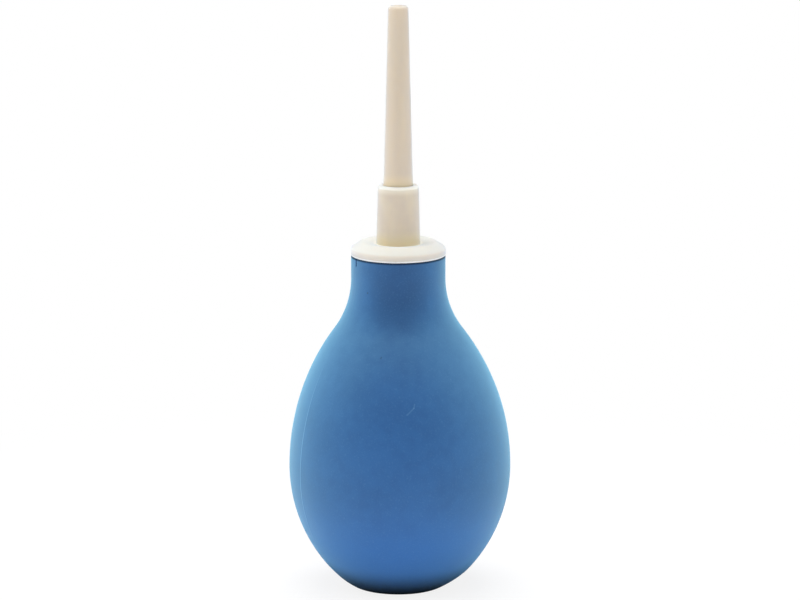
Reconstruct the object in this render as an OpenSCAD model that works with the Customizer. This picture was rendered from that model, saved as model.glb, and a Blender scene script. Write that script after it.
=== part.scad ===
// Squeeze-bulb enema syringe: a soft hollow bulb, closed by a hard plug that carries a screwed-in nozzle.
// The bulb stands on its flat foot at z = 0, and every piece is turned about the Z axis.

/* [Bulb] */
// Diameter of the belly at its widest ring
belly_d = 70; // [64:0.5:84]
// Diameter of the neck
neck_d = 29.6; // [24:0.2:36]
// Diameter of the flat foot
foot_d = 28.4; // [26:0.2:40]
// Radius of the round bottom that rises from the foot
base_r = 30.7; // [24:0.1:31]
// Radius of the haunch between the bottom and the belly
haunch_r = 48.9; // [40:0.1:70]
// Radius of the shoulder above the belly
shoulder_r = 72.7; // [50:0.1:100]
// Radius of the hollow curve where the shoulder runs into the neck
neck_fillet_r = 27.4; // [15:0.1:45]
// Length of the straight neck
neck_l = 7.3; // [4:0.1:16]
// Wall thickness of the bulb
bulb_wall = 2.4; // [1.6:0.1:3.4]
// Rounding of the lip's outer edge
lip_round = 0.6; // [0.2:0.05:1]
// Diameter of the dimple under the foot
dimple_d = 18; // [6:0.5:24]
// Depth of the dimple under the foot
dimple_depth = 0.8; // [0.3:0.1:1.2]

/* [Neck gasket] */
// Thickness of the ring between the lip and the flange
gasket_t = 0.5; // [0.3:0.1:1.5]

/* [Plug] */
// Diameter of the flange
flange_d = 29.8; // [28:0.2:33]
// Height of the flange's crest above its seat
flange_h = 3.85; // [3.2:0.05:6]
// Diameter of the flange's crest
crest_d = 22; // [20:0.2:24]
// Rounding of the flange's crest
crest_round = 2.5; // [1:0.1:3]
// Fall of the flange's top from its crest to its edge, in degrees
flange_slope = 33; // [20:1:38]
// Rounding of the flange's upper edge
flange_round = 1.2; // [0.4:0.1:1.4]
// Depth of the flange's dished top at the hub, below its crest
flange_dish = 0.85; // [0:0.05:1.2]
// Diameter of the hub where it leaves the flange
hub_root_d = 13.7; // [12.8:0.1:18]
// Diameter of the hub under its rounded top
hub_top_d = 13; // [12.4:0.1:18]
// Height of the hub above the flange
hub_h = 18.7; // [16:0.1:30]
// Rounding of the hub's top edge
hub_round = 1.2; // [0.3:0.1:1.2]
// Rounding of the hub's mouth round the nozzle
hub_mouth = 0.2; // [0.1:0.05:0.4]
// Hollow rounding where the hub meets the flange
hub_fillet = 0.3; // [0.2:0.1:1.5]
// Length of the spigot inside the neck
spigot_l = 13; // [8:0.5:20]
// Wall thickness of the hollow spigot
spigot_wall = 2; // [1.4:0.1:3]
// Number of barbs round the spigot
barb_count = 3; // [1:1:5]
// Height of each barb above the spigot
barb_h = 0.6; // [0.2:0.1:0.8]
// Thickness of the plug's floor over the hollow spigot
plug_floor = 3.6; // [3.2:0.1:5]
// Diameter of the channel from the spigot to the socket
channel_d = 3.2; // [2:0.1:4]

/* [Nozzle] */
// Length of the nozzle above the hub
nozzle_l = 56; // [40:1:90]
// Diameter of the taper at the top of the hub
nozzle_root_d = 9.2; // [8.6:0.1:9.6]
// Diameter of the taper at the tip
nozzle_tip_d = 6.3; // [5:0.1:8]
// Extra radius that the nozzle gains where it enters the hub
root_flare = 0.13; // [0:0.01:0.3]
// Height of that flare above the hub
flare_h = 4; // [2:0.5:8]
// Bore of the nozzle
bore_d = 2.8; // [2:0.1:3.4]
// Rounding of the tip's outer edge
tip_round = 0.9; // [0.3:0.1:0.9]
// Rounding of the bore's mouth
mouth_round = 0.3; // [0.1:0.05:0.3]

/* [Thread] */
// Outer diameter of the thread on the nozzle's stem
thread_d = 7.2; // [6.6:0.1:7.6]
// Height of the thread's ridge above the stem
thread_h = 0.7; // [0.4:0.05:0.9]
// Rise of the thread in one turn
pitch = 3; // [2.4:0.1:3.6]
// Number of turns on the stem
thread_turns = 2.5; // [1.5:0.25:2.75]
// Length of the stem below the nozzle's shoulder
stem_l = 11; // [10.5:0.5:13]
// Bare end of the stem below the thread
thread_lead = 1; // [0.8:0.1:1.5]
// Depth of the counterbore that takes the nozzle's shoulder
seat_depth = 1.8; // [1.4:0.1:3]
// Thickness of the washer under the shoulder
washer_t = 1; // [0.6:0.1:1.2]

/* [Fits] */
// Gap between the spigot's barbs and the neck
neck_gap = 0.1; // [0.05:0.01:0.3]
// Gap round the nozzle's shoulder in the counterbore
seat_gap = 0.12; // [0.05:0.01:0.2]
// Gap on every flank of the thread
thread_gap = 0.2; // [0.15:0.01:0.25]
// Gap round the washer, inside and outside
washer_gap = 0.1; // [0.05:0.01:0.2]
// Gap between the end of the stem and the bottom of the socket
stem_gap = 0.4; // [0.2:0.1:1]

/* [Hidden] */
$fn = 96;

// Steps along a long arc, along a small rounding and along one turn of the thread
arc_steps = 14;
round_steps = 6;
turn_steps = 24;
// A cut runs this far past the face that it opens
over = 1;

// Centres of the bulb's four arcs, each tangent to the next, as [radius, height]
belly_r = belly_d / 2;
neck_r = neck_d / 2;
foot_r = foot_d / 2;
base_c = [0, sqrt(pow(base_r, 2) - pow(foot_r, 2))];
haunch_x = belly_r - haunch_r;
belly_z = base_c[1] + sqrt(pow(haunch_r - base_r, 2) - pow(haunch_x, 2));
haunch_c = [haunch_x, belly_z];
shoulder_c = [belly_r - shoulder_r, belly_z];
fillet_x = neck_r + neck_fillet_r;
neck_z = belly_z + sqrt(pow(shoulder_r + neck_fillet_r, 2) - pow(fillet_x - shoulder_c[0], 2));
fillet_c = [fillet_x, neck_z];

// Angles at which the arcs begin and meet
foot_a = atan2(-base_c[1], foot_r);
haunch_a = atan2(base_c[1] - belly_z, -haunch_x);
shoulder_a = atan2(neck_z - belly_z, fillet_x - shoulder_c[0]);

// Heights of the seats above the lip
lip_z = neck_z + neck_l;
flange_z = lip_z + gasket_t;
crest_z = flange_z + flange_h;
hub_z = crest_z - flange_dish;
hub_top_z = hub_z + hub_h;
seat_z = hub_top_z - seat_depth;
shoulder_z = seat_z + washer_t;
stem_z = shoulder_z - stem_l;
thread_z = stem_z + thread_lead;
tip_z = hub_top_z + nozzle_l;

// Radii of the fits
neck_bore_r = neck_r - bulb_wall;
barb_r = neck_bore_r - neck_gap;
thread_r = thread_d / 2;
stem_r = thread_r - thread_h;
taper_r = nozzle_root_d / 2;
nozzle_root_r = taper_r + root_flare;
seat_r = nozzle_root_r + seat_gap;

// Width of the thread's ridge at its root and at its crest
ridge_root = pitch / 2;
ridge_crest = pitch / 4;
// Depth of the ridge's root inside the stem, and of its crest where the ridge has faded out
ridge_sink = 0.4;
fade_sink = 0.1;
// Part of a turn over which the ridge fades out at each end
fade_turn = 0.25;

// Places of a barb's crest and of the end of its back, as parts of one barb's length
barb_crest = 0.7;
barb_end = 0.8;

// Points of an arc about c from angle a0 to angle a1
function arc(c, r, a0, a1, steps) = [
    for (i = [0:steps])
    let(a = a0 + (a1 - a0) * i / steps)
    [c[0] + r * cos(a), c[1] + r * sin(a)]
];

// The bulb's side from angle start_a of the round bottom up to the straight neck, moved inwards by t
function bulb_side(t, start_a) = concat(
    arc(base_c, base_r - t, start_a, haunch_a, arc_steps),
    arc(haunch_c, haunch_r - t, haunch_a, 0, arc_steps),
    arc(shoulder_c, shoulder_r - t, 0, shoulder_a, arc_steps),
    arc(fillet_c, neck_fillet_r + t, shoulder_a + 180, 180, arc_steps)
);

// Hollow moulding with a small foot, a full belly and a straight neck
module bulb() {
    floor_a = asin((bulb_wall - base_c[1]) / (base_r - bulb_wall));
    dimple_r = dimple_d / 2;
    outside = concat(
        [[0, 0]],
        bulb_side(0, foot_a),
        arc([neck_r - lip_round, lip_z - lip_round], lip_round, 0, 90, round_steps),
        [[0, lip_z]]
    );
    inside = concat(
        [[0, bulb_wall]],
        bulb_side(bulb_wall, floor_a),
        [[neck_bore_r, lip_z + over], [0, lip_z + over]]
    );
    dimple = [[0, 0], [dimple_r, 0], [dimple_r - dimple_depth, dimple_depth], [0, dimple_depth]];
    color("steelblue")
    rotate_extrude()
    difference() {
        polygon(outside);
        polygon(inside);
        polygon(dimple);
    }
}

// Flat ring between the lip and the flange
module neck_gasket() {
    color("white")
    translate([0, 0, lip_z])
    difference() {
        cylinder(h = gasket_t, r = neck_r);
        translate([0, 0, -over])
        cylinder(h = gasket_t + 2 * over, r = neck_bore_r);
    }
}

// Ridge of a right-hand thread about the Z axis, over some turns from its start, grown by gap all round
module thread_ridge(turns, gap) {
    steps = ceil(turns * turn_steps);
    sunk_r = stem_r - ridge_sink;
    faded_r = stem_r - fade_sink;
    root_half = ridge_root / 2 + gap;
    crest_half = ridge_crest / 2 + gap;
    function crest_r(t) =
        let(fade = min(1, t / fade_turn, (turns - t) / fade_turn))
        faded_r + (thread_r + gap - faded_r) * max(0, fade);
    points = [
        for (i = [0:steps])
        let(t = turns * i / steps, a = 360 * t, z = thread_z + pitch * t, r = crest_r(t))
        for (p = [[sunk_r, -root_half], [r, -crest_half], [r, crest_half], [sunk_r, root_half]])
        [p[0] * cos(a), p[0] * sin(a), z + p[1]]
    ];
    sides = [
        for (i = [0:steps - 1], k = [0:3])
        let(a = 4 * i + k, b = 4 * i + (k + 1) % 4, c = a + 4, d = b + 4)
        each [[a, b, c], [b, d, c]]
    ];
    last = 4 * steps;
    ends = [[0, 2, 1], [0, 3, 2], [last, last + 1, last + 2], [last, last + 2, last + 3]];
    polyhedron(points, concat(sides, ends));
}

// Moulding that closes the neck: barbed hollow spigot, dished flange, and hub with a threaded socket
module neck_plug() {
    flange_r = flange_d / 2;
    crest_r = crest_d / 2;
    hub_root_r = hub_root_d / 2;
    hub_top_r = hub_top_d / 2;
    spigot_r = barb_r - barb_h;
    hollow_r = spigot_r - spigot_wall;
    spigot_z = flange_z - spigot_l;
    hollow_z = hub_z - plug_floor;
    socket_z = stem_z - stem_gap;
    barb_l = spigot_l / (barb_count + 1);
    barbs = [
        for (i = [0:barb_count - 1])
        let(z = spigot_z + barb_l * i)
        each [[spigot_r, z], [barb_r, z + barb_l * barb_crest], [spigot_r, z + barb_l * barb_end]]
    ];
    // The slope is tangent to the roundings of the crest and of the edge
    crest_c = [crest_r, crest_z - crest_round];
    edge_x = flange_r - flange_round;
    edge_drop = (edge_x - crest_r) * sin(flange_slope) - crest_round + flange_round;
    edge_c = [edge_x, crest_c[1] - edge_drop / cos(flange_slope)];
    dish_r = hub_root_r + hub_fillet;
    dish = [
        for (i = [1:round_steps - 1])
        let(u = i / round_steps)
        [crest_r + (dish_r - crest_r) * u, crest_z - flange_dish * pow(u, 2)]
    ];
    outline = concat(
        [[0, spigot_z]],
        barbs,
        [[spigot_r, flange_z], [flange_r, flange_z]],
        arc(edge_c, flange_round, 0, 90 - flange_slope, round_steps),
        arc(crest_c, crest_round, 90 - flange_slope, 90, round_steps),
        dish,
        arc([dish_r, hub_z + hub_fillet], hub_fillet, 270, 180, round_steps),
        arc([hub_top_r - hub_round, hub_top_z - hub_round], hub_round, 0, 90, round_steps),
        [[0, hub_top_z]]
    );
    seat = concat(
        [[0, seat_z], [seat_r, seat_z]],
        arc([seat_r + hub_mouth, hub_top_z - hub_mouth], hub_mouth, 180, 90, round_steps),
        [[seat_r + hub_mouth, hub_top_z + over], [0, hub_top_z + over]]
    );
    // The groove runs one turn past the seat, so that the ridge can leave the socket
    groove_turns = (seat_z - thread_z) / pitch + 1;
    color("wheat")
    difference() {
        rotate_extrude()
        polygon(outline);
        translate([0, 0, spigot_z - over])
        cylinder(h = hollow_z - spigot_z + over, r = hollow_r);
        translate([0, 0, hollow_z - over])
        cylinder(h = socket_z - hollow_z + 2 * over, d = channel_d);
        translate([0, 0, socket_z])
        cylinder(h = seat_z - socket_z + over, r = stem_r + thread_gap);
        rotate_extrude()
        polygon(seat);
        thread_ridge(groove_turns, thread_gap);
    }
}

// Soft flat ring at the bottom of the counterbore
module nozzle_washer() {
    color("gainsboro")
    translate([0, 0, seat_z])
    difference() {
        cylinder(h = washer_t, r = seat_r - washer_gap);
        translate([0, 0, -over])
        cylinder(h = washer_t + 2 * over, r = thread_r + washer_gap);
    }
}

// Tapered tube with a shoulder and a threaded stem, bored from end to end
module nozzle() {
    tip_r = nozzle_tip_d / 2;
    bore_r = bore_d / 2;
    flare = [
        for (i = [0:round_steps])
        let(u = i / round_steps, h = flare_h * u)
        [taper_r + (tip_r - taper_r) * h / nozzle_l + root_flare * pow(1 - u, 2), hub_top_z + h]
    ];
    outline = concat(
        [[bore_r, stem_z], [stem_r, stem_z], [stem_r, shoulder_z], [nozzle_root_r, shoulder_z]],
        flare,
        arc([tip_r - tip_round, tip_z - tip_round], tip_round, 0, 90, round_steps),
        arc([bore_r + mouth_round, tip_z - mouth_round], mouth_round, 90, 180, round_steps)
    );
    color("wheat")
    union() {
        rotate_extrude()
        polygon(outline);
        thread_ridge(thread_turns, 0);
    }
}

bulb();
neck_gasket();
neck_plug();
nozzle_washer();
nozzle();
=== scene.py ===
import math

import bpy
import numpy as np
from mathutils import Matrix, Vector


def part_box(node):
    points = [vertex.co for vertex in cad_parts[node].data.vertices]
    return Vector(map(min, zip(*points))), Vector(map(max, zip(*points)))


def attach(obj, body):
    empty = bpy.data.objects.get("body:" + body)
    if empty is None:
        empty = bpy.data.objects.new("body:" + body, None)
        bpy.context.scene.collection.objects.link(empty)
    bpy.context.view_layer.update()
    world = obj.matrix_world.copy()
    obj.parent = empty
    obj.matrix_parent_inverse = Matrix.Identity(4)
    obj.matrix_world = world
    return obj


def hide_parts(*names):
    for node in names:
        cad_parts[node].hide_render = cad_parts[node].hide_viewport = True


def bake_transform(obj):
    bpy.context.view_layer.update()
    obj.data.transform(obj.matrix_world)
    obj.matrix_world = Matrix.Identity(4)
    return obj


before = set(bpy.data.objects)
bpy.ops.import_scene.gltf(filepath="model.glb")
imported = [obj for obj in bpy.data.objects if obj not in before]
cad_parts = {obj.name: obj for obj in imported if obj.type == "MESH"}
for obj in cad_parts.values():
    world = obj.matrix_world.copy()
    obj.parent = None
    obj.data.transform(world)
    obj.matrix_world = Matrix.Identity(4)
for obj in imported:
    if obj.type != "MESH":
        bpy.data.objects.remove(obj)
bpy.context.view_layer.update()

# The bulb: one hollow moulding of soft blue vinyl, made in a two-part mould. It stands on a small flat
# foot with a dimple inside it, and its neck ends in a plain lip that the plug is pushed into.
MM = 0.001
quarter = math.pi / 2
neck_r = 14.8 * MM
foot_r = 14.2 * MM
base_r = 30.7 * MM
haunch_r = 48.9 * MM
shoulder_r = 72.7 * MM
neck_fillet_r = 27.4 * MM
bulb_wall = 2.4 * MM
lip_round = 0.6 * MM
mouth_round = 0.3 * MM
lip_land = 0.5 * MM
foot_round = 4 * MM
dimple_r = 9 * MM
dimple_slope = 1.6 * MM
dimple_depth = 0.8 * MM
belly_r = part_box("bulb")[1].x
lip_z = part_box("bulb")[1].z
neck_bore_r = neck_r - bulb_wall

# Centres of the four arcs of its side, each tangent to the next
base_z = math.sqrt(base_r**2 - foot_r**2)
haunch_x = belly_r - haunch_r
belly_z = base_z + math.sqrt((haunch_r - base_r) ** 2 - haunch_x**2)
shoulder_x = belly_r - shoulder_r
fillet_x = neck_r + neck_fillet_r
neck_z = belly_z + math.sqrt((shoulder_r + neck_fillet_r) ** 2 - (fillet_x - shoulder_x) ** 2)

# The mould's parting seam: a fine ridge that rises above the foot and nearly fades out below the neck,
# each between two heights, and a nick where the seam meets the lip
seam_turn = math.radians(207.5)
seam_h = 0.06 * MM
seam_w = 0.26 * MM
seam_rise = (12 * MM, 26 * MM)
seam_fade = (60 * MM, 76 * MM)
seam_left = 0.15
nick_depth = 0.5 * MM
nick_w = 0.2 * MM
nick_l = 2.2 * MM
nick_run = 0.6 * MM
nick_z = lip_z - nick_l


def arc(x, z, r, start, stop, step=1.0 * MM, least=4):
    """Points along an arc between two angles, about step apart."""
    count = max(least, round(abs(stop - start) * r / step))
    return [(x + r * math.cos(a), z + r * math.sin(a)) for a in np.linspace(start, stop, count + 1)]


def line(p, q, step=1.0 * MM):
    """Points from p to q, about step apart."""
    count = max(1, round(math.dist(p, q) / step))
    return [tuple(point) for point in np.linspace(p, q, count + 1)]


def ease(value, low, high):
    """0 below low and 1 above high, with a smooth step between them."""
    t = np.clip((value - low) / (high - low), 0, 1)
    return t * t * (3 - 2 * t)


def bulb_side(inset, first):
    """The bulb's side from an angle of its round bottom up to the straight neck, moved inwards by inset."""
    haunch_a = math.atan2(base_z - belly_z, -haunch_x)
    shoulder_a = math.atan2(neck_z - belly_z, fillet_x - shoulder_x)
    return (
        arc(0, base_z, base_r - inset, first, haunch_a)
        + arc(haunch_x, belly_z, haunch_r - inset, haunch_a, 0)
        + arc(shoulder_x, belly_z, shoulder_r - inset, 0, shoulder_a)
        + arc(fillet_x, neck_z, neck_fillet_r + inset, shoulder_a + math.pi, math.pi)
    )


even_turns = np.radians(np.arange(0, 360, 2.5))
same_point = 0.001 * MM
sharp_edge = math.radians(50)


def lathe(name, outline, loop=True, turns=even_turns, relief=None):
    """A mesh turned about Z from (radius, height) points. relief(radius, height, turn) adds to radius."""
    kept = [outline[0]]
    for point in outline[1:]:
        if math.dist(point, kept[-1]) > same_point:
            kept.append(point)
    if loop and math.dist(kept[0], kept[-1]) < same_point:
        kept.pop()
    r, z = (np.array(column)[:, None] for column in zip(*kept))
    radius = r + (relief(r, z, turns[None, :]) if relief else 0 * turns[None, :])
    points, rings = [], []
    for ring, height in zip(radius, z[:, 0]):
        first = len(points)
        if ring.max() < same_point:
            points.append((0, 0, height))
            rings.append([first] * len(turns))
            continue
        points += zip(ring * np.cos(turns), ring * np.sin(turns), [height] * len(turns))
        rings.append(list(range(first, first + len(turns))))
    faces = []
    for low, high in zip(rings, rings[1:] + rings[:1] if loop else rings[1:]):
        for k in range(len(turns)):
            after = (k + 1) % len(turns)
            corners = [low[k], low[after], high[after], high[k]]
            faces.append(list(dict.fromkeys(corners)))
    mesh = bpy.data.meshes.new(name)
    mesh.from_pydata(points, [], faces)
    mesh.validate()
    mesh.shade_smooth()
    mesh.set_sharp_from_angle(angle=sharp_edge)
    piece = bpy.data.objects.new(name, mesh)
    bpy.context.scene.collection.objects.link(piece)
    return piece


# Outline from the middle of the foot, up the outside and over the lip, then down the inside
middle_r = 2 * MM
fine_step = 0.25 * MM
coarse_step = 2 * MM
fine_z = nick_z - 1 * MM
foot_x = math.sqrt((base_r - foot_round) ** 2 - (base_z - foot_round) ** 2)
foot_a = math.atan2(foot_round - base_z, foot_x)
curve_shares = np.linspace(0, 1, 9)
dimple = [(dimple_r - dimple_slope * (1 - u), dimple_depth * (1 - ease(u, 0, 1))) for u in curve_shares]
bulb_outside = (
    [(0, dimple_depth)]
    + line((middle_r, dimple_depth), dimple[0])
    + dimple
    + line(dimple[-1], (foot_x, 0))
    + arc(foot_x, foot_round, foot_round, -quarter, foot_a, fine_step)
    + bulb_side(0, foot_a)
    + line((neck_r, neck_z), (neck_r, fine_z))
    + line((neck_r, fine_z), (neck_r, lip_z - lip_round), fine_step)
    + arc(neck_r - lip_round, lip_z - lip_round, lip_round, 0, quarter)
)
floor_a = math.asin((bulb_wall - base_z) / (base_r - bulb_wall))
floor_r = (base_r - bulb_wall) * math.cos(floor_a)
bulb_inside = (
    [(0, bulb_wall)]
    + line((middle_r, bulb_wall), (floor_r, bulb_wall), coarse_step)
    + bulb_side(bulb_wall, floor_a)
    + line((neck_bore_r, neck_z), (neck_bore_r, lip_z - mouth_round))
    + arc(neck_bore_r + mouth_round, lip_z - mouth_round, mouth_round, math.pi, quarter)
)
# Columns of the mesh, in degrees from the seam, are closer together on both sides of it
column_step = 2.0
beside_seam = np.array([0.12, 0.25, 0.4, 0.55, 0.75, 1.0, 1.3, 1.7])
seam_columns = [half_turn + side * beside_seam for half_turn in (0, 180) for side in (-1, 1)]
columns = np.radians(np.concatenate([np.arange(0, 360, column_step), *seam_columns]))
bulb_turns = np.sort((columns + seam_turn) % (2 * math.pi))


def bulb_relief(r, z, turn):
    """Height of the seam's ridge and depth of its nick, on the outside of the bulb alone."""
    mouth = r < neck_bore_r + mouth_round + lip_land
    inside = np.arange(len(r))[:, None] >= len(bulb_outside)
    across = r * np.abs(np.sin(turn - seam_turn))
    clear = ease(z, *seam_rise) * (seam_left + (1 - seam_left) * (1 - ease(z, *seam_fade)))
    ridge = seam_h * np.exp(-((across / seam_w) ** 2)) * clear
    nick = nick_depth * np.exp(-((across / nick_w) ** 2)) * ease(z, nick_z - nick_run, nick_z)
    return np.where(inside | mouth, 0, ridge - nick)


bulb_outline = bulb_outside + bulb_inside[::-1]
bulb = lathe("bulb_moulding", bulb_outline, loop=False, turns=bulb_turns, relief=bulb_relief)
# The soft belly stands a touch to one side of its neck and foot
lean = 0.5 * MM
lean_foot = 6 * MM
lean_from = 50 * MM
lean_to = 95 * MM
for vertex in bulb.data.vertices:
    vertex.co.x += lean * ease(vertex.co.z, 0, lean_foot) * (1 - ease(vertex.co.z, lean_from, lean_to))


class Wire:
    """One shader socket. Maths on it adds Math nodes, and node() adds any other node."""

    def __init__(self, tree, socket=None):
        self.tree = tree
        self.socket = socket

    def node(self, kind, inputs=None, out=0, **settings):
        """A new node with its settings and then its inputs, as a wire from one of its outputs."""
        made = self.tree.nodes.new("ShaderNode" + kind)
        for name, value in settings.items():
            setattr(made, name, value)
        for key, value in (inputs or {}).items():
            if isinstance(value, Wire):
                self.tree.links.new(value.socket, made.inputs[key])
            else:
                made.inputs[key].default_value = value
        return Wire(self.tree, made.outputs[out] if made.outputs else None)

    def out(self, name):
        """A wire from another output of the same node."""
        return Wire(self.tree, self.socket.node.outputs[name])

    def math(self, operation, *values):
        """A Math node on wires and numbers."""
        return self.node("Math", dict(enumerate(values)), operation=operation)

    def __add__(self, other):
        return self.math("ADD", self, other)

    def __sub__(self, other):
        return self.math("SUBTRACT", self, other)

    def __rsub__(self, other):
        return self.math("SUBTRACT", other, self)

    def __mul__(self, other):
        return self.math("MULTIPLY", self, other)

    def __abs__(self):
        return self.math("ABSOLUTE", self)

    __radd__ = __add__
    __rmul__ = __mul__


def paint(name):
    """A new empty material, and a wire to add its nodes with."""
    made = bpy.data.materials.new(name)
    made.use_nodes = True
    made.node_tree.nodes.clear()
    return made, Wire(made.node_tree)


def srgb(red, green, blue):
    """A colour read off on the 0 to 255 scale, as the linear colour that a shader takes."""
    shares = [c / 255 for c in (red, green, blue)]
    return (*(c / 12.92 if c <= 0.04045 else ((c + 0.055) / 1.055) ** 2.4 for c in shares), 1)


def noise(place, size, detail=2.0, stretch=(1, 1, 1)):
    """Cloudy noise from 0 to 1 with features of about that size, drawn out along the axes by stretch."""
    scaled = place.node("VectorMath", {0: place, 1: [1 / s for s in stretch]}, operation="MULTIPLY")
    return place.node("TexNoise", {"Vector": scaled, "Scale": 1 / size, "Detail": detail})


def band(value, low, high):
    """0 below low and 1 above high, with a smooth step between them."""
    inputs = {"Value": value, "From Min": low, "From Max": high}
    return value.node("MapRange", inputs, interpolation_type="SMOOTHSTEP")


def blend_colour(mask, under, over):
    """The colour under, turned into the colour over where the mask is 1."""
    return mask.node("Mix", {0: mask, 6: under, 7: over}, 2, data_type="RGBA")


def stroke(place, start, stop, width):
    """1 along a short straight mark between two points, and 0 away from it."""
    span = Vector(stop) - Vector(start)
    away = place.node("VectorMath", {0: place, 1: start}, operation="SUBTRACT")
    share = span / span.length_squared
    along = place.node("VectorMath", {0: away, 1: share}, "Value", operation="DOT_PRODUCT")
    along = along.node("Clamp", {"Value": along})
    nearest = along.node("VectorMath", {0: span, "Scale": along}, operation="SCALE")
    gap = along.node("VectorMath", {0: away, 1: nearest}, "Value", operation="DISTANCE")
    return 1 - band(gap, 0.5 * width, width)


def coat(wire, colour, roughness, height, depth, plain=None):
    """A surface's shader. Colour, roughness and bump height vary, and the plain inputs don't."""
    bump = wire.node("Bump", {"Height": height, "Strength": 1.0, "Distance": depth})
    varied = {"Base Color": colour, "Roughness": roughness, "Normal": bump}
    return wire.node("BsdfPrincipled", varied | (plain or {}))


# Colours of the vinyl, the size of its clouds, mottle and grain, and the depth of its bumps
bulb_blue = srgb(42, 90, 153)
bulb_deep = srgb(37, 81, 142)
# Painted shade on the front of the neck and shoulder
bulb_front_shade = srgb(33, 60, 105)
bulb_under_blue = srgb(41, 99, 181)
# Pale of the grain, the scratch and the painted highlight on the seam
bulb_pale_and_highlight = srgb(112, 162, 205)
bulb_dust = srgb(80, 124, 160)
# Dark of the specks, and of the painted shade round the foot, in the nick and along the lip
bulb_grime_and_shade = srgb(24, 18, 19)
bulb_cloud = 24 * MM
bulb_mottle = 3.5 * MM
bulb_grain = 0.5 * MM
bulb_bump = 0.03 * MM
bulb_sheen = (0.35, 0.8, 1.0, 1)
# Heights between which painted shade darkens the front of the neck, and then eases a little
neck_shade_rise = (68 * MM, 86 * MM)
neck_shade_fade = (94 * MM, 102 * MM)
# Heights and widths of the painted highlight along the seam's ridge, and of the painted shade in its nick
seam_highlight_rise = (14 * MM, 38 * MM)
seam_highlight_fade = (48 * MM, 76 * MM)
seam_highlight_w = (0.05 * MM, 0.4 * MM)
nick_shade_w = (0.1 * MM, 0.26 * MM)
nick_shade_run = 0.4 * MM
# Reach of the painted shade up from the foot and down from the lip
foot_shade_h = 11 * MM
lip_shade_h = 0.8 * MM
lip_shade_full = 0.4 * MM
# A bent scratch and two dark specks, at their places on the front
scratch_low = (2.7 * MM, -31.1 * MM, 62.2 * MM)
scratch_bend = (4.83 * MM, -30.18 * MM, 64.14 * MM)
scratch_high = (5.03 * MM, -29.72 * MM, 65.25 * MM)
scratch_w = 0.3 * MM
scratch_strength = 0.17
belly_speck = (-5.4 * MM, -22.8 * MM, 78.2 * MM)
belly_speck_strength = 0.35
neck_speck = (-9.5 * MM, -11.5 * MM, 96.5 * MM)
neck_speck_strength = 0.6
speck_l = 0.3 * MM
speck_w = 0.35 * MM

bulb_vinyl, wire = paint("bulb_vinyl")
place = wire.node("TexCoord", out="Object")
x = place.node("SeparateXYZ", {"Vector": place})
y = x.out("Y")
z = x.out("Z")
facing = place.node("SeparateXYZ", {"Vector": place.out("Normal")})
up = facing.out("Z")
y_facing = facing.out("Y")
front = 1 - band(y_facing, -1.0, -0.7)
cloud = noise(place, bulb_cloud, 3.0)
mottle = noise(place, bulb_mottle, 4.0)
grain = noise(place, bulb_grain, 2.0)
colour = blend_colour(band(cloud * 0.6 + mottle * 0.4, 0.35, 0.65), bulb_deep, bulb_blue)
# Painted shade: the front of the neck and shoulder is darker than the rest, with less dust on it
neck_front_shade = band(z, *neck_shade_rise) * (1 - band(z, *neck_shade_fade) * 0.25)
colour = blend_colour(neck_front_shade * front * 0.6, colour, bulb_front_shade)
# The underside is a brighter blue, and dust lies on what faces up
colour = blend_colour((1 - band(up, -0.6, 0.0)) * 0.8, colour, bulb_under_blue)
# Painted shade: the front gets little dust, so it stays darker
dust_and_front_shade = band(up, 0.1, 0.7) * (0.2 + mottle * 0.4) * (1 - front * 0.9)
colour = blend_colour(dust_and_front_shade, colour, bulb_dust)
colour = blend_colour(band(grain, 0.5, 0.85) * 0.12, colour, bulb_pale_and_highlight)
# Painted highlight: the seam's ridge is painted pale along the belly, measured from the leaning middle
upright = x - (1 - band(z, lean_from, lean_to)) * lean
across = abs(upright * math.sin(seam_turn) - y * math.cos(seam_turn))
seam_highlight = (1 - band(across, *seam_highlight_w)) * band(z, *seam_highlight_rise) * (1 - band(z, *seam_highlight_fade))
colour = blend_colour(seam_highlight * 0.5, colour, bulb_pale_and_highlight)
for end in (scratch_low, scratch_high):
    scratch = stroke(place, scratch_bend, end, scratch_w)
    colour = blend_colour(scratch * scratch_strength, colour, bulb_pale_and_highlight)
for speck, strength in ((belly_speck, belly_speck_strength), (neck_speck, neck_speck_strength)):
    dot = stroke(place, speck, [c + speck_l for c in speck], speck_w)
    colour = blend_colour(dot * strength, colour, bulb_grime_and_shade)
vinyl_roughness = 0.46 + mottle * 0.1 + grain * 0.06
vinyl_plain = {
    "Specular IOR Level": 0.15,
    "Sheen Weight": 0.65,
    "Sheen Roughness": 0.63,
    "Sheen Tint": bulb_sheen,
}
vinyl = coat(wire, colour, vinyl_roughness, mottle * 0.6 + grain * 0.4, bulb_bump, vinyl_plain)
# Painted shade: a dark coat round the foot, more at the front and back, and in the nick and along the lip
# under the gasket
shade_coat = coat(wire, bulb_grime_and_shade, 0.6 + mottle * 0.2, mottle, bulb_bump, {"Specular IOR Level": 0.1})
painted_shade = (1 - band(z, 0, foot_shade_h)) * (0.55 + band(abs(y_facing), 0.1, 0.5) * 0.37)
nick_shade = (1 - band(across, *nick_shade_w)) * band(z, nick_z - nick_shade_run, nick_z)
lip_shade = band(z, lip_z - lip_shade_h, lip_z - lip_shade_full)
painted_shade = painted_shade.math("MAXIMUM", painted_shade, nick_shade * 0.75)
painted_shade = painted_shade.math("MAXIMUM", painted_shade, lip_shade * 0.7)
wire.node("OutputMaterial", {"Surface": wire.node("MixShader", {0: painted_shade, 1: vinyl, 2: shade_coat})})
bulb.data.materials.append(bulb_vinyl)
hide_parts("bulb")
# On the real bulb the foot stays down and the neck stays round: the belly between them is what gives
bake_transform(bulb)

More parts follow.
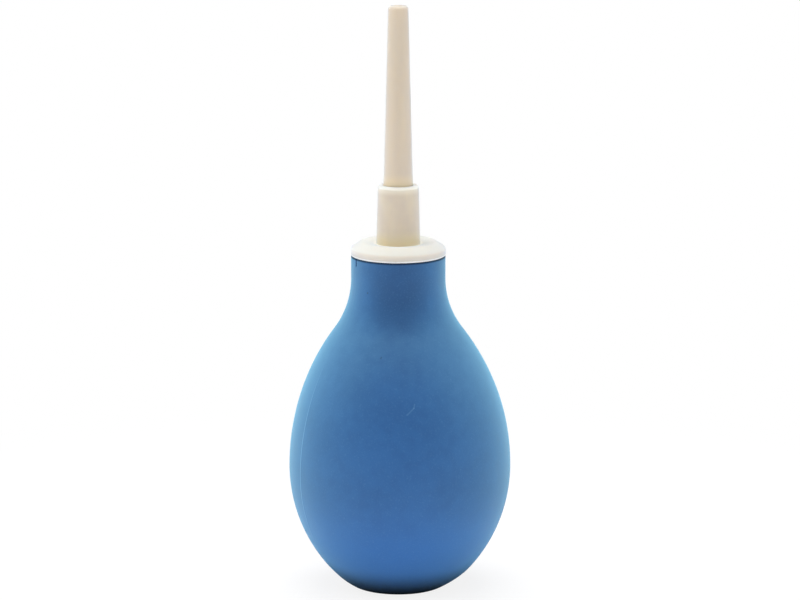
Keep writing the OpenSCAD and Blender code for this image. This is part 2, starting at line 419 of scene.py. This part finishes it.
# The neck gasket: a thin ring of white soft plastic, stamped flat, that lies on the bulb's lip and is
# nipped there by the plug's flange. Only its edge shows until the plug is pulled out.
gasket_low, gasket_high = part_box("neck_gasket")
gasket_round = 0.15 * MM
gasket_speckle = 0.8 * MM
gasket_bump = 0.02 * MM
gasket_white = srgb(248, 248, 248)
gasket_grey = srgb(226, 226, 224)


def ring_outline(inner, outer, low, high, rounding):
    """Outline of a flat ring with rounded edges."""
    corners = (outer, low, 1, 1), (outer, high, -1, 1), (inner, high, -1, -1), (inner, low, 1, -1)
    outline = []
    for corner, (r, z, up, out) in enumerate(corners):
        start = (corner - 1) * quarter
        outline += arc(r - out * rounding, z + up * rounding, rounding, start, start + quarter)
    return outline


gasket_outline = ring_outline(neck_bore_r, gasket_high.x, gasket_low.z, gasket_high.z, gasket_round)
gasket = lathe("gasket_ring", gasket_outline)
gasket_vinyl, wire = paint("gasket_white_vinyl")
place = wire.node("TexCoord", out="Object")
speckle = noise(place, gasket_speckle, 3.0)
colour = blend_colour(band(speckle, 0.45, 0.8) * 0.5, gasket_white, gasket_grey)
surface = coat(wire, colour, 0.5 + speckle * 0.15, speckle, gasket_bump)
wire.node("OutputMaterial", {"Surface": surface})
gasket.data.materials.append(gasket_vinyl)
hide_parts("neck_gasket")
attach(gasket, "neck")

# The neck plug: one cream moulding of hard polyethylene. Its hollow barbed spigot is pushed into the neck
# until the dished flange lies on the gasket, and its hub has a threaded socket for the nozzle.
plug_low, plug_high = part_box("neck_plug")
flange_r = plug_high.x
flange_z = gasket_high.z
flange_h = 3.85 * MM
flange_slope = math.radians(33)
flange_round = 1.2 * MM
flange_dish = 0.85 * MM
crest_r = 11 * MM
crest_round = 2.5 * MM
crest_z = flange_z + flange_h
hub_root_r = 6.85 * MM
hub_top_r = 6.5 * MM
hub_round = 1.2 * MM
hub_mouth = 0.2 * MM
hub_fillet = 0.3 * MM
hub_top_z = plug_high.z
hub_z = crest_z - flange_dish
# The spigot, hollow inside, with the plug's floor and its narrow channel above the hollow
neck_gap = 0.1 * MM
barb_h = 0.6 * MM
barb_count = 3
barb_crest = 0.7
barb_end = 0.8
spigot_wall = 2 * MM
spigot_z = plug_low.z
barb_r = neck_bore_r - neck_gap
barb_l = (flange_z - spigot_z) / (barb_count + 1)
spigot_r = barb_r - barb_h
plug_floor = 3.6 * MM
channel_r = 1.6 * MM
hollow_r = spigot_r - spigot_wall
hollow_z = hub_z - plug_floor
# The counterbore that the washer lies in, and the threaded socket below it
seat_low, seat_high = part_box("nozzle_washer")
nozzle_low, nozzle_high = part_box("nozzle")
seat_gap = 0.12 * MM
seat_r = nozzle_high.x + seat_gap
seat_z = seat_low.z
stem_gap = 0.4 * MM
thread_r = 3.6 * MM
thread_h = 0.7 * MM
thread_gap = 0.2 * MM
thread_lead = 1 * MM
thread_step = 0.1 * MM
thread_z = nozzle_low.z + thread_lead
pitch = 3 * MM
ridge_root = pitch / 4
ridge_flank = pitch / 8
stem_r = thread_r - thread_h
socket_r = stem_r + thread_gap
socket_z = nozzle_low.z - stem_gap
on_wall = 0.01 * MM


def thread_height(z, turn, grown):
    """The thread's ridge as 0 to 1 across its flanks, with both flanks moved out by grown."""
    along = z - thread_z - pitch * turn / (2 * math.pi)
    from_crest = np.abs((along + pitch / 2) % pitch - pitch / 2)
    return np.clip((ridge_root + grown - from_crest) / ridge_flank, 0, 1)


def socket_relief(r, z, turn):
    """The groove that the nozzle's thread runs in, cut into the wall of the socket."""
    wall = (np.abs(r - socket_r) < on_wall) & (z > thread_z - pitch / 2) & (z <= seat_z)
    return np.where(wall, thread_h * thread_height(z, turn, thread_gap), 0)


barbs = []
for k in range(barb_count):
    low = spigot_z + barb_l * k
    barbs += line((spigot_r, low), (barb_r, low + barb_crest * barb_l))
    barbs.append((spigot_r, low + barb_end * barb_l))
# The flange's slope is tangent to the roundings of its crest and of its edge
crest_low = crest_z - crest_round
edge_x = flange_r - flange_round
edge_drop = (edge_x - crest_r) * math.sin(flange_slope) - crest_round + flange_round
edge_z = crest_low - edge_drop / math.cos(flange_slope)
edge_step = 0.5 * MM
dish_r = hub_root_r + hub_fillet
dish = [(crest_r + (dish_r - crest_r) * u, crest_z - flange_dish * u * u) for u in curve_shares]
seat_step = 0.4 * MM
plug_outline = (
    line((hollow_r, spigot_z), (spigot_r, spigot_z))
    + barbs
    + line(barbs[-1], (spigot_r, flange_z))
    + line((spigot_r, flange_z), (flange_r, flange_z))
    + line((flange_r, flange_z), (flange_r, edge_z), edge_step)
    + arc(edge_x, edge_z, flange_round, 0, quarter - flange_slope, least=8)
    + arc(crest_r, crest_low, crest_round, quarter - flange_slope, quarter, least=8)
    + dish
    + arc(dish_r, hub_z + hub_fillet, hub_fillet, -quarter, -2 * quarter, least=6)
    + line((hub_root_r, hub_z + hub_fillet), (hub_top_r, hub_top_z - hub_round))
    + arc(hub_top_r - hub_round, hub_top_z - hub_round, hub_round, 0, quarter, least=10)
    + arc(seat_r + hub_mouth, hub_top_z - hub_mouth, hub_mouth, quarter, 2 * quarter, least=6)
    + line((seat_r, hub_top_z - hub_mouth), (seat_r, seat_z))
    + line((seat_r, seat_z), (socket_r, seat_z), seat_step)
    + line((socket_r, seat_z), (socket_r, socket_z), thread_step)
    + line((socket_r, socket_z), (channel_r, socket_z))
    + line((channel_r, socket_z), (channel_r, hollow_z))
    + line((channel_r, hollow_z), (hollow_r, hollow_z))
    + line((hollow_r, hollow_z), (hollow_r, spigot_z))
)
plug = lathe("plug_moulding", plug_outline, relief=socket_relief)

# Colours of the cream plastic, the size of its clouds, grain and scuffs, and the reach of its painted light
cream = srgb(213, 200, 184)
# Painted highlight: the flange is paler than the hub, palest where it faces up
cream_highlight_top = srgb(229, 226, 216)
cream_highlight_side = srgb(230, 220, 207)
cream_cloud = 5 * MM
cream_grain = 0.4 * MM
cream_scuff = 0.9 * MM
scuff_stretch = 9
cream_bump = 0.012 * MM
cream_sheen = (0.56, 0.74, 1.0, 1)
cream_glow = (1.0, 0.9, 0.75)
cream_glow_depth = 4 * MM
root_h = 5 * MM
rim_h = 3 * MM
rim_full = 0.6 * MM
highlight_from = hub_root_r - 0.2 * MM
highlight_to = hub_root_r + 1.5 * MM


def cream_plastic(name, rim_highlight, rim_z, warm_light_and_scuff, warm_light_z, flow):
    """Cream polyethylene: drawn-out moulding clouds, painted highlight on flange and rim, painted warm
    light at root.
    """
    made, wire = paint(name)
    place = wire.node("TexCoord", out="Object")
    z = place.node("SeparateXYZ", {"Vector": place}).out("Z")
    up = place.node("SeparateXYZ", {"Vector": place.out("Normal")}).out("Z")
    level = place.node("VectorMath", {0: place, 1: (1, 1, 0)}, operation="MULTIPLY")
    away = place.node("VectorMath", {0: level}, "Value", operation="LENGTH")
    cloud = noise(place, cream_cloud, 3.0, (1, 1, flow))
    grain = noise(place, cream_grain, 2.0)
    scuff = noise(place, cream_scuff, 3.0, (1, 1, scuff_stretch))
    # Painted warm light: the colour turns paler and warmer towards the root, standing in for light thrown
    # back near the joint
    cloud_and_warm_light = band(cloud, 0.3, 0.75) * 0.2 + (1 - band(z, warm_light_z, warm_light_z + root_h)) * 0.7
    colour = blend_colour(cloud_and_warm_light, cream, warm_light_and_scuff)
    colour = blend_colour(band(scuff, 0.62, 0.8) * 0.12, colour, warm_light_and_scuff)
    # Painted highlight: the top of the rim and what faces up turn paler
    top_highlight = band(z, rim_z - rim_h, rim_z - rim_full) * 0.5
    colour = blend_colour(top_highlight.math("MAXIMUM", top_highlight, band(up, 0.0, 0.45)), colour, rim_highlight)
    flange_highlight = blend_colour(band(up, 0.2, 0.7), cream_highlight_side, cream_highlight_top)
    colour = blend_colour(band(away, highlight_from, highlight_to), colour, flange_highlight)
    roughness = 0.36 + cloud * 0.1 + band(scuff, 0.55, 0.75) * 0.12
    plain = {
        "Subsurface Weight": 0.75,
        "Subsurface Radius": cream_glow,
        "Subsurface Scale": cream_glow_depth,
        "Sheen Weight": 0.5,
        "Sheen Tint": cream_sheen,
    }
    surface = coat(wire, colour, roughness, grain * 0.5 + scuff * 0.5, cream_bump, plain)
    wire.node("OutputMaterial", {"Surface": surface})
    return made


# Painted highlight on the hub's rim
hub_rim_highlight = srgb(255, 246, 228)
# Painted warm light at the hub's root, which is also the colour of its scuffs
hub_warm_light_and_scuff = srgb(245, 231, 188)
hub_warm_light_z = hub_z + 0.5 * MM
hub_flow = 1.5
plug_plastic = cream_plastic("plug_cream", hub_rim_highlight, hub_top_z, hub_warm_light_and_scuff, hub_warm_light_z, hub_flow)
plug.data.materials.append(plug_plastic)
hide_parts("neck_plug")
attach(plug, "plug")

# The nozzle washer: a flat ring of soft white rubber at the bottom of the hub's counterbore. It comes out
# with the nozzle, whose shoulder presses it against its seat.
washer_gap = 0.1 * MM
washer_round = 0.2 * MM
washer_speckle = 0.5 * MM
washer_bump = 0.02 * MM
washer_pale = srgb(214, 212, 204)
washer_dull = srgb(180, 178, 168)
washer_r = thread_r + washer_gap
washer_outline = ring_outline(washer_r, seat_high.x, seat_low.z, seat_high.z, washer_round)
washer = lathe("washer_ring", washer_outline)
washer_rubber, wire = paint("washer_rubber")
place = wire.node("TexCoord", out="Object")
speckle = noise(place, washer_speckle, 3.0)
colour = blend_colour(band(speckle, 0.4, 0.8), washer_pale, washer_dull)
surface = coat(wire, colour, 0.6 + speckle * 0.2, speckle, washer_bump)
wire.node("OutputMaterial", {"Surface": surface})
washer.data.materials.append(washer_rubber)
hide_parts("nozzle_washer")
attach(washer, "seal")

# The nozzle: a long tapered tube of the same cream polyethylene, bored from end to end. A threaded stem
# below its shoulder screws it into the hub, and its tip is rounded.
nozzle_root_r = nozzle_high.x
root_flare = 0.13 * MM
flare_h = 4 * MM
taper_r = nozzle_root_r - root_flare
tip_r = 3.15 * MM
tip_z = nozzle_high.z
tip_round = 0.9 * MM
bore_r = 1.4 * MM
bore_mouth = 0.3 * MM
stem_z = nozzle_low.z
stem_edge = 0.2 * MM
shoulder_z = seat_high.z
shoulder_step = 0.5 * MM
thread_turns = 2.5
thread_fade = 0.25


def stem_relief(r, z, turn):
    """The thread's ridge round the stem, fading out at both ends."""
    stem = (np.abs(r - stem_r) < on_wall) & (z > stem_z + stem_edge)
    nearest = np.round((z - thread_z) / pitch - turn / (2 * math.pi)) + turn / (2 * math.pi)
    fade = ease(nearest, 0, thread_fade) * (1 - ease(nearest, thread_turns - thread_fade, thread_turns))
    return np.where(stem, thread_h * thread_height(z, turn, 0) * fade, 0)


def taper(height):
    """Radius of the nozzle at a height above the hub."""
    flare = root_flare * max(0, 1 - height / flare_h) ** 2
    return taper_r + (tip_r - taper_r) * height / (tip_z - hub_top_z) + flare


taper_rings = 60
taper_heights = np.linspace(0, tip_z - tip_round - hub_top_z, taper_rings)
nozzle_outline = (
    line((bore_r, stem_z), (stem_r - stem_edge, stem_z))
    + [(stem_r, stem_z + stem_edge)]
    + line((stem_r, stem_z + stem_edge), (stem_r, shoulder_z), thread_step)
    + line((stem_r, shoulder_z), (nozzle_root_r, shoulder_z), shoulder_step)
    + [(taper(h), hub_top_z + h) for h in taper_heights]
    + arc(tip_r - tip_round, tip_z - tip_round, tip_round, 0, quarter, least=10)
    + arc(bore_r + bore_mouth, tip_z - bore_mouth, bore_mouth, quarter, 2 * quarter, least=6)
    + line((bore_r, tip_z - bore_mouth), (bore_r, stem_z), coarse_step)
)
nozzle = lathe("nozzle_moulding", nozzle_outline, relief=stem_relief)
# Painted warm light at the nozzle's root, which is also the colour of its scuffs
nozzle_warm_light_and_scuff = srgb(243, 223, 184)
nozzle_warm_light_z = hub_top_z - 0.5 * MM
nozzle_flow = 6
nozzle_plastic = cream_plastic("nozzle_cream", cream, tip_z, nozzle_warm_light_and_scuff, nozzle_warm_light_z, nozzle_flow)
nozzle.data.materials.append(nozzle_plastic)
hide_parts("nozzle")
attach(nozzle, "nozzle")

# The floor: a wide pale sheet just under the foot. It shows as white but for the soft shadow round the
# foot, and from there outwards it lights the underside of the belly as a white table does.
floor_side = 12.0
floor_drop = 0.1 * MM
glow_rise = (32 * MM, 70 * MM)
shadow_fade = (70 * MM, 250 * MM)


def grey(level):
    """A colour without hue."""
    return (level, level, level, 1)


half = floor_side / 2
floor_corners = [(x * half, y * half, -floor_drop) for x, y in ((-1, -1), (1, -1), (1, 1), (-1, 1))]
floor_mesh = bpy.data.meshes.new("floor")
floor_mesh.from_pydata(floor_corners, [], [(0, 1, 2, 3)])
floor = bpy.data.objects.new("floor", floor_mesh)
bpy.context.scene.collection.objects.link(floor)
floor_sheet, wire = paint("floor_sheet")
camera_ray = wire.node("LightPath")
place = wire.node("TexCoord", out="Object")
away = place.node("VectorMath", {0: place}, "Value", operation="LENGTH")
table = wire.node("BsdfDiffuse", {"Color": grey(0.85)})
table_glow = wire.node("Emission", {"Color": grey(0.58)})
table_lit = wire.node("AddShader", {0: table, 1: table_glow})
bounce = wire.node("MixShader", {0: band(away, *glow_rise), 1: table, 2: table_lit})
shadow = wire.node("BsdfDiffuse", {"Color": grey(0.15)})
shadow_base = wire.node("Emission", {"Color": grey(0.86)})
near = wire.node("AddShader", {0: shadow, 1: shadow_base})
far = wire.node("Emission", {"Color": grey(1)})
ground = wire.node("MixShader", {0: band(away, *shadow_fade), 1: near, 2: far})
wire.node("OutputMaterial", {"Surface": wire.node("MixShader", {0: camera_ray, 1: bounce, 2: ground})})
floor_mesh.materials.append(floor_sheet)

# The light: a large soft lamp on each side, one high up behind and one high up in front. The room round
# them is seen as white and mirrored as pale grey, and adds almost no light of its own.
world = bpy.data.worlds.new("pale_room")
bpy.context.scene.world = world
world.use_nodes = True
world.node_tree.nodes.clear()
wire = Wire(world.node_tree)
camera_ray = wire.node("LightPath")
room = wire.node("Background", {"Color": grey(0.02)})
mirrored = wire.node("Background", {"Color": grey(0.6)})
backdrop = wire.node("Background", {"Color": grey(1)})
unseen = wire.node("MixShader", {0: camera_ray.out("Is Glossy Ray"), 1: room, 2: mirrored})
wire.node("OutputWorld", {"Surface": wire.node("MixShader", {0: camera_ray, 1: unseen, 2: backdrop})})
lamp_aim = (0, 0, 0.08)


def soft_lamp(name, at, side, power):
    """A square soft lamp that faces the bulb's shoulder and isn't mirrored in the part."""
    lamp = bpy.data.lights.new(name, "AREA")
    lamp.size = side
    lamp.energy = power
    made = bpy.data.objects.new(name, lamp)
    made.location = at
    made.rotation_euler = (Vector(lamp_aim) - Vector(at)).to_track_quat("-Z", "Y").to_euler()
    made.visible_glossy = False
    bpy.context.scene.collection.objects.link(made)


soft_lamp("lamp_left", at=(-0.67, 0.2, 0.48), side=0.65, power=2.45)
soft_lamp("lamp_right", at=(0.67, 0.28, 0.4), side=0.65, power=1.15)
soft_lamp("lamp_back", at=(0, 0.2, 1.0), side=0.7, power=8.7)
soft_lamp("lamp_front", at=(0, -0.55, 0.95), side=0.7, power=4.7)

# The camera: a long lens a little over a metre in front of the part and higher than its tip, looking down
# on the flange by about 11 degrees.
camera_at = (0.54 * MM, -1.1, 0.315)
camera_pitch = 0.2
camera_lens = 160.8
camera_film = 36
camera_reach = 50
camera = bpy.data.cameras.new("camera")
camera.lens = camera_lens
camera.sensor_width = camera_film
camera.sensor_fit = "HORIZONTAL"
camera.clip_end = camera_reach
viewpoint = bpy.data.objects.new("camera", camera)
viewpoint.location = camera_at
viewpoint.rotation_euler = (quarter - camera_pitch, 0, 0)
bpy.context.scene.collection.objects.link(viewpoint)
bpy.context.scene.camera = viewpoint
bpy.context.scene.view_settings.view_transform = "Standard"
